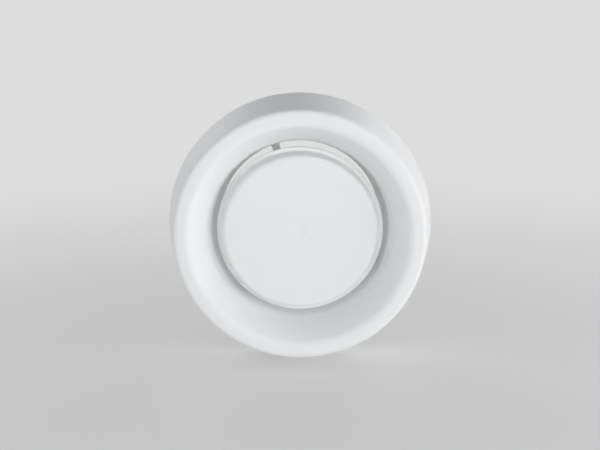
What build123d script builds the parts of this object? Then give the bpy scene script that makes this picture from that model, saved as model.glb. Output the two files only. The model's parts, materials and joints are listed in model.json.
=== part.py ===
"""Disc valve for a 100 mm ventilation duct.

A moulded body with a deep skirt and a bowl, a foam gasket, and a disc that screws in and out on a spindle to
set the air gap. A lock nut behind the bridge holds the setting.
"""

import math
import os

from build123d import *

# Sizes are in millimetres. The valve's axis is Y: the room lies towards -Y and the duct towards +Y. The rear
# edge of the skirt sits on the wall at Y = 0. Radii and angles are taken about the axis, angles from +X to +Z.

# Spigot, the tube that goes into the duct
spigot_r = 49.5
spigot_wall = 2.0
spigot_length = 28.0
spigot_lead_in = 1.0

# Shell of the body. Each radius grows from the one before, from the seat outwards to the skirt.
shell_wall = 2.0
seat_ledge = 1.9
throat_flare = 4.6
bowl_flare = 9.9
face_land = 5.9
edge_round = 3.0
skirt_flare = 5.0
face_height = 36.0
bowl_depth = 17.0
seat_behind_wall = 11.6
edge_land = 0.5
crease_round = 2.0
mouth_round = 5.0
lip_round = 16.0

# Ribs between the shell's outer and inner walls
rib_count = 8
rib_thickness = 1.6
rib_first_angle = 22.5

# Bridge, behind the seat
spoke_count = 3
spoke_first_angle = 108.2
spoke_width = 4.3
spoke_depth = 6.0
spoke_round = 0.9
hub_r = 8.5
hub_length = 9.0

# Foam gasket
gasket_thickness = 5.0
gasket_width = 9.5
gasket_fit = 1.0

# Disc, at the opening seen in use
disc_stand_off = 15.4
disc_wall = 1.8
disc_height = 9.4
disc_seat_overlap = 0.4
disc_closed_gap = 0.3
disc_rim_width = 2.2
disc_rim_round = 0.5
disc_side_lean = 1.5
disc_shoulder_round = 2.8
disc_foot_round = 1.0
sink_mark_r = 4.5
sink_mark_depth = 0.15
boss_r = 7.5
boss_gap = 1.0
socket_floor = 1.0
disc_rib_count = 6
disc_rib_height = 3.0
disc_rib_thickness = 1.4

# Spindle, M8, and its nut
spindle_r = 4.0
spindle_clearance = 0.05
spindle_end_gap = 0.3
spindle_chamfer = 1.0
spindle_tail = 1.0
open_travel = 12.0
nut_across_flats = 13.0
nut_height = 6.5
nut_chamfer_angle = 30.0

# Places worked out from the sizes above
spigot_bore_r = spigot_r - spigot_wall
seat_r = spigot_bore_r - seat_ledge
lip_r = seat_r + throat_flare
mouth_r = lip_r + bowl_flare
edge_r = mouth_r + face_land + edge_round
skirt_r = edge_r + skirt_flare
face_y = -face_height
lip_y = face_y + bowl_depth
seat_y = seat_behind_wall
crease_y = face_y + edge_round + edge_land
throat_slope = throat_flare / (seat_y - lip_y)
hub_end_y = seat_y + hub_length
nut_end_y = hub_end_y + nut_height

disc_rim_r = seat_r + disc_seat_overlap
disc_rim_y = -disc_stand_off
disc_rim_back_y = disc_rim_y + disc_wall
disc_face_y = disc_rim_y - disc_height
disc_back_y = disc_face_y + disc_wall
shut_rim_y = seat_y - (disc_rim_r + disc_closed_gap - seat_r) / throat_slope
close_travel = shut_rim_y - disc_rim_back_y
boss_end_y = seat_y - close_travel - boss_gap
socket_end_y = disc_back_y + socket_floor
spindle_front_y = socket_end_y + spindle_end_gap
spindle_end_y = nut_end_y + open_travel + spindle_tail
thread_bore_r = spindle_r + spindle_clearance

# Outer line of the shell, from the skirt round the face and down the bowl to the seat. Both ends run on past
# the wall plane and the seat, so that they can be trimmed square.
overrun = 2 * shell_wall
skirt_slope = skirt_flare / -crease_y
shell_line = [
    (skirt_r + overrun * skirt_slope, overrun),
    (edge_r, crease_y),
    (edge_r, face_y),
    (mouth_r, face_y),
    (lip_r, lip_y),
    (seat_r - overrun * throat_slope, seat_y + overrun),
]
shell_rounds = [crease_round, edge_round, mouth_round, lip_round]

os.makedirs("parts", exist_ok=True)

# One arm of the bridge, along +X, with its front edges rounded
spoke_outer_r = spigot_r - spigot_wall / 2
with BuildPart() as spoke:
    with BuildSketch(Plane.YZ):
        with Locations((seat_y, 0)):
            Rectangle(spoke_depth, spoke_width, align=(Align.MIN, Align.CENTER))
    extrude(amount=spoke_outer_r)
    fillet(spoke.faces().sort_by(Axis.Y)[0].edges().filter_by(Axis.X), radius=spoke_round)

# Stiffening ribs: plates across the hollow of the shell, cut to the middle of its walls
rib_reach = skirt_r - spigot_bore_r
with BuildPart() as ribs:
    with BuildSketch(Plane.XY):
        with BuildLine() as shell_middle:
            FilletPolyline(*shell_line, radius=shell_rounds)
            offset(amount=shell_wall / 2, side=Side.RIGHT, closed=False)
            Line(shell_middle.line @ 1, shell_middle.line @ 0)
        make_face()
    revolve(axis=Axis.Y)
    with BuildSketch(Plane.XZ.offset(gasket_thickness)):
        with PolarLocations(spigot_bore_r, rib_count, start_angle=rib_first_angle):
            Rectangle(rib_reach, rib_thickness, align=(Align.MIN, Align.CENTER))
    extrude(amount=face_height, mode=Mode.INTERSECT)

# Body: shell, spigot, bridge and ribs, moulded in one
spigot_start_y = seat_y - seat_ledge / throat_slope
with BuildPart() as valve_body:
    with BuildSketch(Plane.XY):
        with BuildLine():
            FilletPolyline(*shell_line, radius=shell_rounds)
            offset(amount=shell_wall, side=Side.RIGHT)
        make_face()
        with Locations((spigot_r, 0)):
            Rectangle(skirt_r, 2 * overrun, align=(Align.MIN, Align.MIN), mode=Mode.SUBTRACT)
        with Locations((0, seat_y)):
            Rectangle(spigot_r, 2 * overrun, align=(Align.MIN, Align.MIN), mode=Mode.SUBTRACT)
        with Locations((spigot_bore_r, spigot_start_y)):
            Rectangle(spigot_wall, spigot_length - spigot_start_y, align=(Align.MIN, Align.MIN))
    revolve(axis=Axis.Y)
    chamfer(valve_body.edges().group_by(Axis.Y)[-1].sort_by(SortBy.LENGTH)[-1], length=spigot_lead_in)
    add(ribs.part)
    for index in range(spoke_count):
        add(spoke.part, rotation=(0, -spoke_first_angle - index * 360 / spoke_count, 0))
    with BuildSketch(Plane.XZ.offset(-hub_end_y)):
        Circle(hub_r)
    extrude(amount=hub_length)
    with BuildSketch(Plane.XZ.offset(-hub_end_y)):
        Circle(thread_bore_r)
    extrude(amount=hub_length, mode=Mode.SUBTRACT)
valve_body.part.label = "valve_body"
export_step(valve_body.part, "parts/valve_body.step")

# Gasket: a flat ring of foam round the root of the spigot, against the ends of the ribs
gasket_r = spigot_r + gasket_fit
with BuildPart() as foam_gasket:
    with BuildSketch(Plane.XZ):
        Circle(gasket_r + gasket_width)
        Circle(gasket_r, mode=Mode.SUBTRACT)
    extrude(amount=gasket_thickness)
foam_gasket.part.label = "foam_gasket"
export_step(foam_gasket.part, "parts/foam_gasket.step")

# Disc: a shallow pan with its floor to the front, a flat rim, and a boss and low ribs behind
disc_foot_r = disc_rim_r - disc_rim_width
disc_corner_r = disc_foot_r - disc_side_lean
sink_ball_r = (sink_mark_r**2 + sink_mark_depth**2) / (2 * sink_mark_depth)
with BuildPart() as disc:
    with BuildSketch(Plane.XY):
        with BuildLine():
            FilletPolyline(
                (0, disc_face_y),
                (disc_corner_r, disc_face_y),
                (disc_foot_r, disc_rim_y),
                (disc_rim_r, disc_rim_y),
                radius=[disc_shoulder_round, disc_foot_round],
            )
            offset(amount=disc_wall, side=Side.LEFT)
        make_face()
    revolve(axis=Axis.Y)
    fillet(disc.faces().filter_by(GeomType.CYLINDER).sort_by(SortBy.RADIUS)[-1].edges(), radius=disc_rim_round)
    with BuildSketch(Plane.XZ.offset(-disc_back_y - disc_rib_height)):
        with PolarLocations(0, disc_rib_count):
            Rectangle(disc_corner_r - disc_wall / 2, disc_rib_thickness, align=(Align.MIN, Align.CENTER))
    extrude(amount=disc_rib_height)
    with BuildSketch(Plane.XZ.offset(-boss_end_y)):
        Circle(boss_r)
    extrude(amount=boss_end_y - disc_back_y)
    with BuildSketch(Plane.XZ.offset(-boss_end_y)):
        Circle(thread_bore_r)
    extrude(amount=boss_end_y - socket_end_y, mode=Mode.SUBTRACT)
    with Locations((0, disc_face_y + sink_mark_depth - sink_ball_r, 0)):
        Sphere(sink_ball_r, mode=Mode.SUBTRACT)
disc.part.label = "disc"
export_step(disc.part, "parts/disc.step")

# Spindle: a plain round bar at the thread's outer size, with its rear end chamfered
with BuildPart() as spindle:
    with BuildSketch(Plane.XZ.offset(-spindle_end_y)):
        Circle(spindle_r)
    extrude(amount=spindle_end_y - spindle_front_y)
    chamfer(spindle.faces().sort_by(Axis.Y)[-1].edges(), length=spindle_chamfer)
spindle.part.label = "spindle"
export_step(spindle.part, "parts/spindle.step")

# Lock nut: a hexagon bar, turned to a cone at both ends and bored
nut_r = nut_across_flats / 2
nut_corner_r = nut_r / math.cos(math.radians(30))
nut_chamfer_height = (nut_corner_r - nut_r) * math.tan(math.radians(nut_chamfer_angle))
with BuildPart() as lock_nut:
    with BuildSketch(Plane.XZ.offset(-nut_end_y)):
        RegularPolygon(nut_r, 6, major_radius=False)
        Circle(thread_bore_r, mode=Mode.SUBTRACT)
    extrude(amount=nut_height)
    with BuildSketch(Plane.XY):
        with BuildLine():
            Polyline(
                (0, hub_end_y),
                (nut_r, hub_end_y),
                (nut_corner_r, hub_end_y + nut_chamfer_height),
                (nut_corner_r, nut_end_y - nut_chamfer_height),
                (nut_r, nut_end_y),
                (0, nut_end_y),
                close=True,
            )
        make_face()
    revolve(axis=Axis.Y, mode=Mode.INTERSECT)
lock_nut.part.label = "lock_nut"
export_step(lock_nut.part, "parts/lock_nut.step")
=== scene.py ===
import json
import math

import bpy
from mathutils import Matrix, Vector

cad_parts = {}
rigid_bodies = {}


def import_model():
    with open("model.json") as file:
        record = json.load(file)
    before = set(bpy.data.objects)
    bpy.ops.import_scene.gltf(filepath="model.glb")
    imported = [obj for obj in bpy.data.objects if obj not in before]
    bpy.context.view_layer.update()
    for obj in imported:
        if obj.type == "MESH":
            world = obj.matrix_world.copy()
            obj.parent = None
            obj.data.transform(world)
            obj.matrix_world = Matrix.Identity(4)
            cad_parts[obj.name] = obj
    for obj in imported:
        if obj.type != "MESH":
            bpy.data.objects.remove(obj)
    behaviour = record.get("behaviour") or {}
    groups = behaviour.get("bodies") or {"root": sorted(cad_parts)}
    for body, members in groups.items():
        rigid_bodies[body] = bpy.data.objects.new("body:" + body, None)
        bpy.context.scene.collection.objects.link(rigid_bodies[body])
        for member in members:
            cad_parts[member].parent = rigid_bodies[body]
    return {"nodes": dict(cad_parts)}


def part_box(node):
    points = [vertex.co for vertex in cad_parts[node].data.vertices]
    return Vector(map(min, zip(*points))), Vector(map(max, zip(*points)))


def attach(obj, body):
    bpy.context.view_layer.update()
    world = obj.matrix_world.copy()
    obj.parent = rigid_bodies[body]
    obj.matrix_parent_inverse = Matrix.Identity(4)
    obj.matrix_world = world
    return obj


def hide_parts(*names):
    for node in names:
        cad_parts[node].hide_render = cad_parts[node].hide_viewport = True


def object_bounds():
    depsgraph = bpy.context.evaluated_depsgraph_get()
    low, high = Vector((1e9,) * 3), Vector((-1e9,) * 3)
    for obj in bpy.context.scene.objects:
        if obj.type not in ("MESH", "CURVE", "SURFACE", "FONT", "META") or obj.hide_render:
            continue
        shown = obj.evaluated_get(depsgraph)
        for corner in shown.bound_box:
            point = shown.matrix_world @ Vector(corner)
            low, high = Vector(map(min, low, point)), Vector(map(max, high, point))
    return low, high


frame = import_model()
cad_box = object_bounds()


# Valve body: face ring, skirt, bowl, throat, spigot, bridge and ribs in one injection moulding of white
# polypropylene. The mould leaves a satin skin with a faint ripple and slow clouds where the melt flowed.
class Level:
    """A socket of a material's nodes, so that shader maths reads as arithmetic"""

    def __init__(self, tree, socket=None):
        self.tree = tree
        self.socket = socket

    def node(self, kind, settings, inputs):
        """Adds a node, sets it up, fills its input sockets and gives its outputs in order"""
        made = self.tree.nodes.new("ShaderNode" + kind)
        for name, value in settings.items():
            setattr(made, name, value)
        for name, value in inputs.items():
            if isinstance(value, Level):
                self.tree.links.new(value.socket, made.inputs[name])
            else:
                made.inputs[name].default_value = value
        return [Level(self.tree, output) for output in made.outputs]

    def math(self, operation, first, second):
        return self.node("Math", {"operation": operation}, {0: first, 1: second})[0]

    def __add__(self, other):
        return self.math("ADD", self, other)

    __radd__ = __add__

    def __mul__(self, other):
        return self.math("MULTIPLY", self, other)

    __rmul__ = __mul__


def new_finish(name):
    """An empty material, with a level to hang its nodes on"""
    material = bpy.data.materials.new(name)
    material.use_nodes = True
    material.node_tree.nodes.clear()
    return material, Level(material.node_tree)


def piece_place(level):
    """The place on the piece itself, so that a pattern moves with it"""
    return level.node("TexCoord", {}, {})[3]


def colour_between(level, tone, first, second):
    """A colour from the first to the second, by a tone from 0 to 1"""
    return level.node("Mix", {"data_type": "RGBA"}, {0: tone, 6: first, 7: second})[2]


def lay_finish(level, sockets):
    """Ends a material with its shader"""
    shader = level.node("BsdfPrincipled", {}, sockets)[0]
    level.node("OutputMaterial", {}, {"Surface": shader})


def moulded_white(name, pale, deep, seed):
    """Satin white polypropylene: flow clouds in the colour, a fine ripple in the skin"""
    material, level = new_finish(name)
    spot = level.node("Mapping", {}, {"Vector": piece_place(level), "Location": (seed, 2 * seed, -seed)})[0]
    clouds = level.node("TexNoise", {}, {"Vector": spot, "Scale": 22.0, "Detail": 2.0})[0]
    speckle = level.node("TexNoise", {}, {"Vector": spot, "Scale": 950.0, "Detail": 2.0})[0]
    ripple = level.node("TexNoise", {}, {"Vector": spot, "Scale": 380.0, "Detail": 1.0})[0]
    scuffs = level.node("TexNoise", {}, {"Vector": spot, "Scale": 60.0, "Detail": 6.0, "Roughness": 0.7})[0]
    colour = colour_between(level, clouds * 0.8 + speckle * 0.2, pale, deep)
    roughness = 0.52 + 0.10 * scuffs + 0.05 * speckle
    skin = ripple + 0.35 * speckle
    normal = level.node("Bump", {}, {"Height": skin, "Strength": 0.12, "Distance": 0.00012})[0]
    lay_finish(
        level, {"Base Color": colour, "Roughness": roughness, "Normal": normal, "Specular IOR Level": 0.25}
    )
    return material


def shade_as_skin(piece):
    """Shades the facets of the active piece as one skin, and keeps its sharp edges"""
    bpy.ops.object.shade_smooth_by_angle(angle=math.radians(25))
    weighted = piece.modifiers.new("Skin", "WEIGHTED_NORMAL")
    weighted.keep_sharp = True
    bpy.ops.object.modifier_apply(modifier=weighted.name)


def smooth_copy(node, name, material, body):
    """A copy of a piece of the frame that takes its place, with its facets shaded as one skin"""
    piece = bpy.data.objects.new(name, frame["nodes"][node].data.copy())
    bpy.context.scene.collection.objects.link(piece)
    bpy.ops.object.select_all(action="DESELECT")
    piece.select_set(True)
    bpy.context.view_layer.objects.active = piece
    bpy.ops.object.mode_set(mode="EDIT")
    bpy.ops.mesh.select_all(action="SELECT")
    bpy.ops.mesh.remove_doubles(threshold=0.000002)
    bpy.ops.mesh.customdata_custom_splitnormals_clear()
    bpy.ops.object.mode_set(mode="OBJECT")
    shade_as_skin(piece)
    piece.data.materials.clear()
    piece.data.materials.append(material)
    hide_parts(node)
    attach(piece, body)


body_white = moulded_white("body_white", (0.875, 0.878, 0.881, 1), (0.857, 0.861, 0.865, 1), 0.31)
smooth_copy("valve_body", "body_moulding", body_white, "housing")


# Disc: a shallow pan with a small rim, moulded in the same white polypropylene from its own mould. The boss on
# its back shrinks as it cools and leaves a faint round sink mark in the middle of the front.
disc_white = moulded_white("disc_white", (0.870, 0.873, 0.876, 1), (0.852, 0.856, 0.860, 1), 0.77)


def rounded_line(corners):
    """Points through corners given as radius, place along the axis and rounding, with an arc at each round one"""
    arc_steps = 8
    line = []
    for index, (radius, y, rounding) in enumerate(corners):
        corner = Vector((radius, y))
        if rounding == 0:
            line.append(corner)
            continue
        back = (Vector(corners[index - 1][:2]) - corner).normalized()
        ahead = (Vector(corners[index + 1][:2]) - corner).normalized()
        half = back.angle(ahead) / 2
        centre = corner + (back + ahead).normalized() * rounding / math.sin(half)
        start = corner + back * rounding / math.tan(half) - centre
        end = corner + ahead * rounding / math.tan(half) - centre
        line += [centre + rounding * start.slerp(end, step / arc_steps) for step in range(arc_steps + 1)]
    return line


def start_point(name, radius, y):
    """A new piece of one point, selected and in edit mode, to be drawn out to a line"""
    bpy.ops.object.select_all(action="DESELECT")
    bpy.ops.mesh.primitive_plane_add(size=0.001)
    piece = bpy.context.object
    piece.name = name
    bpy.ops.object.mode_set(mode="EDIT")
    bpy.ops.mesh.select_all(action="SELECT")
    bpy.ops.mesh.merge(type="CENTER")
    bpy.ops.transform.translate(value=(radius, y, 0))
    return piece


def trace_and_spin(name, line, steps):
    """Traces a line point by point and spins it about the valve's axis"""
    piece = start_point(name, line[0][0], line[0][1])
    for here, there in zip(line, line[1:]):
        step = (there[0] - here[0], there[1] - here[1], 0)
        bpy.ops.mesh.extrude_region_move(TRANSFORM_OT_translate={"value": step})
    bpy.ops.mesh.select_all(action="SELECT")
    bpy.ops.mesh.remove_doubles(threshold=0.000001)
    bpy.ops.mesh.spin(steps=steps, angle=math.tau, center=(0, 0, 0), axis=(0, 1, 0))
    bpy.ops.mesh.select_all(action="SELECT")
    bpy.ops.mesh.remove_doubles(threshold=0.000001)
    bpy.ops.mesh.normals_make_consistent(inside=False)
    bpy.ops.object.mode_set(mode="OBJECT")
    return piece


disc_low, disc_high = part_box("disc")
rim_r = disc_high[0]
disc_front = disc_low[1]
boss_end = disc_high[1]
disc_height = 0.0094
disc_wall = 0.0018
side_lean = 0.0015
rim_width = 0.0022
rim_round = 0.0005
shoulder_round = 0.0028
foot_round = 0.001
rim_front = disc_front + disc_height
rim_back = rim_front + disc_wall
disc_back = disc_front + disc_wall
foot_r = rim_r - rim_width
corner_r = foot_r - side_lean
inset = disc_wall * math.tan((math.pi / 2 - math.atan2(side_lean, disc_height)) / 2)
sink_r = 0.0045
sink_depth = 0.0006
sink_steps = 6
sink_line = [
    (sink_r * step / sink_steps, disc_front + sink_depth * (1 - (step / sink_steps) ** 2), 0)
    for step in range(sink_steps + 1)
]
boss_r = 0.0075
socket_r = 0.00405
socket_floor = disc_back + 0.001
pan = trace_and_spin(
    "disc_moulding",
    rounded_line(
        sink_line
        + [
            (corner_r, disc_front, shoulder_round),
            (foot_r, rim_front, foot_round),
            (rim_r, rim_front, rim_round),
            (rim_r, rim_back, rim_round),
            (foot_r - inset, rim_back, foot_round + disc_wall),
            (corner_r - inset, disc_back, shoulder_round - disc_wall),
            (boss_r, disc_back, 0),
            (boss_r, boss_end, 0),
            (socket_r, boss_end, 0),
            (socket_r, socket_floor, 0),
            (0, socket_floor, 0),
        ]
    ),
    steps=256,
)
disc_rib_count = 6
disc_rib_thickness = 0.0014
disc_rib_height = 0.003
rib_start = boss_r - disc_wall / 2
rib_end = corner_r - disc_wall / 2
rib_foot = disc_back - disc_wall / 2
rib_crest = disc_back + disc_rib_height
bpy.ops.object.select_all(action="DESELECT")
bpy.ops.mesh.primitive_cube_add(size=1)
disc_ribs = bpy.context.object
bpy.ops.object.mode_set(mode="EDIT")
bpy.ops.transform.resize(value=(rib_end - rib_start, rib_crest - rib_foot, disc_rib_thickness))
bpy.ops.transform.translate(value=((rib_start + rib_end) / 2, (rib_foot + rib_crest) / 2, 0))
bpy.ops.object.mode_set(mode="OBJECT")
for edge in disc_ribs.data.edges:
    ends = [disc_ribs.data.vertices[index].co for index in edge.vertices]
    along_rib = abs(ends[0].x - ends[1].x) > disc_rib_thickness
    edge.select = along_rib and ends[0].y > disc_back
bpy.ops.object.mode_set(mode="EDIT")
bpy.ops.mesh.bevel(offset=0.0003, segments=2)
for index in range(disc_rib_count - 1):
    bpy.ops.mesh.select_linked()
    bpy.ops.mesh.duplicate()
    bpy.ops.transform.rotate(value=math.tau / disc_rib_count, orient_axis="Y", center_override=(0, 0, 0))
bpy.ops.object.mode_set(mode="OBJECT")
bpy.ops.object.select_all(action="DESELECT")
pan.select_set(True)
bpy.context.view_layer.objects.active = pan
moulded = pan.modifiers.new("Ribs", "BOOLEAN")
moulded.operation = "UNION"
moulded.solver = "EXACT"
moulded.object = disc_ribs
bpy.ops.object.modifier_apply(modifier=moulded.name)
bpy.data.objects.remove(disc_ribs)
bpy.ops.object.mode_set(mode="EDIT")
bpy.ops.mesh.select_all(action="SELECT")
bpy.ops.mesh.remove_doubles(threshold=0.000005)
bpy.ops.object.mode_set(mode="OBJECT")
shade_as_skin(pan)
pan.data.materials.append(disc_white)
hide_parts("disc")
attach(pan, "disc")


# Foam gasket: a flat ring, die-cut from closed-cell foam and stuck against the ends of the ribs. The ribs press
# shallow dents into its front, so it stands a little proud between them, and its cut edges are slightly round.
gasket_low, gasket_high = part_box("foam_gasket")
gasket_outer = gasket_high[0]
gasket_inner = 0.0505
gasket_front = gasket_low[1]
gasket_rear = gasket_high[1]
ring_steps = 4
gasket_rings = [
    gasket_inner + (gasket_outer - gasket_inner) * step / ring_steps for step in range(ring_steps + 1)
]
front_line = [(radius, gasket_front) for radius in gasket_rings]
rear_line = [(radius, gasket_rear) for radius in gasket_rings[::-1]]
gasket = trace_and_spin("gasket_ring", front_line + rear_line + front_line[:1], steps=240)
rib_count = 8
rib_spacing = math.tau / rib_count
rib_first_angle = math.radians(22.5)
dent_depth = 0.0005
dent_width = 0.0030
for vertex in gasket.data.vertices:
    if vertex.co.y < gasket_front + dent_depth:
        angle = math.atan2(vertex.co.z, vertex.co.x) - rib_first_angle
        off_angle = abs((angle + rib_spacing / 2) % rib_spacing - rib_spacing / 2)
        off_rib = off_angle * math.hypot(vertex.co.x, vertex.co.z)
        vertex.co.y -= dent_depth * (1 - math.exp(-((off_rib / dent_width) ** 2)))
bpy.context.view_layer.objects.active = gasket
cut_edge = gasket.modifiers.new("Cut edge", "BEVEL")
cut_edge.width = 0.0007
cut_edge.segments = 3
cut_edge.angle_limit = math.radians(50)
bpy.ops.object.modifier_apply(modifier=cut_edge.name)
bpy.ops.object.shade_smooth_by_angle(angle=math.radians(40))

foam, level = new_finish("closed_cell_foam")
place = piece_place(level)
cells = level.node("TexVoronoi", {}, {"Vector": place, "Scale": 1400.0})[0]
coarse = level.node("TexNoise", {}, {"Vector": place, "Scale": 160.0, "Detail": 4.0})[0]
foam_colour = colour_between(
    level, cells * 0.6 + coarse * 0.6, (0.022, 0.022, 0.024, 1), (0.085, 0.085, 0.090, 1)
)
foam_normal = level.node("Bump", {}, {"Height": cells + 0.8 * coarse, "Strength": 0.7, "Distance": 0.0004})[0]
lay_finish(level, {"Base Color": foam_colour, "Roughness": 0.82 + 0.12 * coarse, "Normal": foam_normal})
gasket.data.materials.append(foam)
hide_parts("foam_gasket")
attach(gasket, "housing")


# Spindle: an M8 steel rod with its thread rolled along the whole length, fixed in the disc's boss and screwed
# through the hub. The zinc plating is bright, with a faint blue and yellow cast and fine drawn scratches.
def zinc_plate(name):
    """Zinc-plated steel: passivation clouds in the colour, fine drawn scratches in the gloss"""
    material, level = new_finish(name)
    place = piece_place(level)
    clouds = level.node("TexNoise", {}, {"Vector": place, "Scale": 260.0, "Detail": 3.0})[0]
    drawn = level.node("Mapping", {}, {"Vector": place, "Scale": (1.0, 6.0, 1.0)})[0]
    scratches = level.node("TexNoise", {}, {"Vector": drawn, "Scale": 1500.0, "Detail": 3.0})[0]
    colour = colour_between(level, clouds, (0.60, 0.63, 0.67, 1), (0.72, 0.70, 0.63, 1))
    roughness = 0.24 + 0.16 * scratches + 0.08 * clouds
    normal = level.node("Bump", {}, {"Height": scratches, "Strength": 0.15, "Distance": 0.00005})[0]
    lay_finish(level, {"Base Color": colour, "Metallic": 1.0, "Roughness": roughness, "Normal": normal})
    return material


zinc = zinc_plate("zinc_plated_steel")
spindle_low, spindle_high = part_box("spindle")
spindle_front = spindle_low[1]
spindle_end = spindle_high[1]
spindle_chamfer = 0.001
thread_pitch = 0.00125
thread_height = 0.6134 * thread_pitch
thread_crest = spindle_high[0]
rod = start_point("threaded_rod", thread_crest - thread_height, spindle_front - 2 * thread_pitch)
for rise, run in (
    (0.0, thread_pitch / 4),
    (thread_height, thread_pitch * 5 / 16),
    (0.0, thread_pitch / 8),
    (-thread_height, thread_pitch * 5 / 16),
):
    bpy.ops.mesh.extrude_region_move(TRANSFORM_OT_translate={"value": (rise, run, 0)})
bpy.ops.object.mode_set(mode="OBJECT")
winding = rod.modifiers.new("Thread", "SCREW")
winding.axis = "Y"
winding.angle = math.tau
winding.screw_offset = thread_pitch
winding.iterations = math.ceil((spindle_end - spindle_front) / thread_pitch) + 4
winding.steps = 40
winding.render_steps = 40
winding.use_merge_vertices = True
winding.merge_threshold = 0.000001
bpy.ops.object.modifier_apply(modifier=winding.name)
bpy.ops.object.mode_set(mode="EDIT")
for cut_y, side in ((spindle_front, -1), (spindle_end, 1)):
    bpy.ops.mesh.select_all(action="SELECT")
    bpy.ops.mesh.bisect(
        plane_co=(0, cut_y, 0), plane_no=(0, side, 0), use_fill=True, clear_outer=True, threshold=0.0000001
    )
bpy.ops.mesh.select_all(action="SELECT")
bpy.ops.mesh.remove_doubles(threshold=0.0000005)
bpy.ops.mesh.normals_make_consistent(inside=False)
bpy.ops.object.mode_set(mode="OBJECT")
for vertex in rod.data.vertices:
    reach = math.hypot(vertex.co.x, vertex.co.z)
    most = thread_crest - max(0.0, spindle_chamfer - (spindle_end - vertex.co.y))
    if reach > most:
        vertex.co.x *= most / reach
        vertex.co.z *= most / reach
bpy.ops.object.shade_smooth_by_angle(angle=math.radians(30))
rod.data.materials.append(zinc)
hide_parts("spindle")
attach(rod, "spindle")


# Lock nut: cut from hexagon bar, its corners turned off to a cone at both ends, plated like the spindle. It is
# tightened against the rear of the hub.
smooth_copy("lock_nut", "hexagon_nut", zinc, "lock_nut")


# Floor: a wide pale sheet that the valve stands on by the edge of its skirt. Far off it fades to an even pale
# tone, so the background has no edge.
def looked_at(level):
    """1 for what the camera and the gloss see, 0 for light that bounces"""
    rays = level.node("LightPath", {}, {})
    return rays[0] + rays[3] + rays[6]


pale_grey = (0.72, 0.72, 0.72, 1)
floor_width = 24
bpy.ops.object.select_all(action="DESELECT")
bpy.ops.mesh.primitive_plane_add(size=floor_width, location=(0, 0, cad_box[0][2]))
floor = bpy.context.object
floor_finish, level = new_finish("pale_floor")
away = level.node("VectorMath", {"operation": "LENGTH"}, {0: piece_place(level)})[1]
fade = level.node(
    "MapRange", {"interpolation_type": "SMOOTHSTEP"}, {"Value": away, "From Min": 0.05, "From Max": 0.7}
)[0]
sheet = level.node("BsdfDiffuse", {}, {"Color": (0.80, 0.80, 0.80, 1)})[0]
glow = level.node("Emission", {}, {"Color": pale_grey, "Strength": 1.0})[0]
glow_share = 0.15 + (0.3 + 0.55 * fade) * looked_at(level)
floor_blend = level.node("MixShader", {}, {0: glow_share, 1: sheet, 2: glow})[0]
level.node("OutputMaterial", {}, {"Surface": floor_blend})
floor.data.materials.append(floor_finish)


# Studio: soft boxes level with the valve, most of their light from the front and right, two higher ones behind,
# and a pale surround that the camera and the gloss see brighter than it lights the valve.
def soft_box(name, place, size, power):
    """A square lamp, turned to the middle of the valve"""
    valve_middle = Vector((0, -0.03, 0))
    lamp = bpy.data.lights.new(name, "AREA")
    lamp.shape = "SQUARE"
    lamp.size = size
    lamp.energy = power
    box = bpy.data.objects.new(name, lamp)
    box.location = place
    box.rotation_euler = (Vector(place) - valve_middle).to_track_quat("Z", "Y").to_euler()
    box.visible_camera = False
    bpy.context.scene.collection.objects.link(box)


soft_box("key", (0.53, -0.84, 0.03), 0.5, 4.5)
soft_box("right", (0.95, -0.3, 0.03), 0.5, 4.1)
soft_box("left", (-1.0, -0.3, 0.03), 0.5, 2.1)
soft_box("left_front", (-0.4, -0.85, 0.0), 0.5, 2.1)
soft_box("rear_right", (0.45, 0.75, 0.4), 0.4, 1.6)
soft_box("rear_left", (-0.45, 0.75, 0.4), 0.4, 1.6)

world = bpy.data.worlds.new("surround")
bpy.context.scene.world = world
world.use_nodes = True
world.node_tree.nodes.clear()
level = Level(world.node_tree)
ambient = level.node("Background", {}, {"Color": (0.95, 0.97, 1.0, 1), "Strength": 0.27})[0]
pale = level.node("Background", {}, {"Color": pale_grey, "Strength": 1.0})[0]
surround = level.node("MixShader", {}, {0: looked_at(level), 1: ambient, 2: pale})[0]
level.node("OutputWorld", {}, {"Surface": surround})
bpy.context.scene.view_settings.view_transform = "Standard"


# Camera: at the photograph's viewing angle, a little above the valve and square to its front
face_centre = Vector((0, cad_box[0][1], 0))
camera_distance = 0.7012
camera_elevation = math.radians(12.63)
lens = bpy.data.cameras.new("camera")
lens.sensor_width = 36.0
lens.lens = 78.0
lens.shift_y = 0.02
camera = bpy.data.objects.new("camera", lens)
towards_room = Vector((0, -math.cos(camera_elevation), math.sin(camera_elevation)))
camera.location = face_centre + camera_distance * towards_room
camera.rotation_euler = towards_room.to_track_quat("Z", "Y").to_euler()
bpy.context.scene.collection.objects.link(camera)
bpy.context.scene.camera = camera
